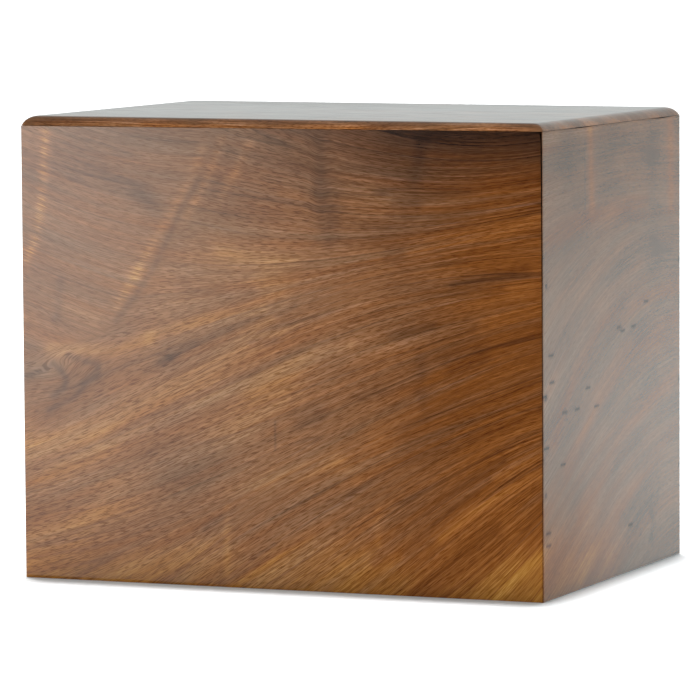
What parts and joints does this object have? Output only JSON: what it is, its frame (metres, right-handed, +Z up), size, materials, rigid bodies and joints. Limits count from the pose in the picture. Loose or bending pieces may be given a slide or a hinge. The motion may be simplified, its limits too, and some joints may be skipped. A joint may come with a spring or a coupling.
{
  "type": "cremation urn box",
  "caption": "Plain rectangular hardwood box with mitred walls and a lift-off lid with a rounded edge, made to hold cremated remains.",
  "frame": {"origin": "middle of the underside, on the surface that the box stands on", "axes": "+Z up; +X to the right along the width, seen from the front; +Y from the front to the back"},
  "size_m": [0.22, 0.16, 0.1835],
  "materials": {
    "lacquered_wall": "clear satin lacquer over figured sheesham",
    "lacquered_lid": "clear satin lacquer over straight-grained sheesham",
    "bare_base": "bare sanded sheesham"
  },
  "bodies": {
    "root": {"front_wall": "lacquered_wall", "right_wall": "lacquered_wall", "back_wall": "lacquered_wall", "left_wall": "lacquered_wall", "base_board": "bare_base", "lid": "lacquered_lid"}
  },
  "joints": []
}
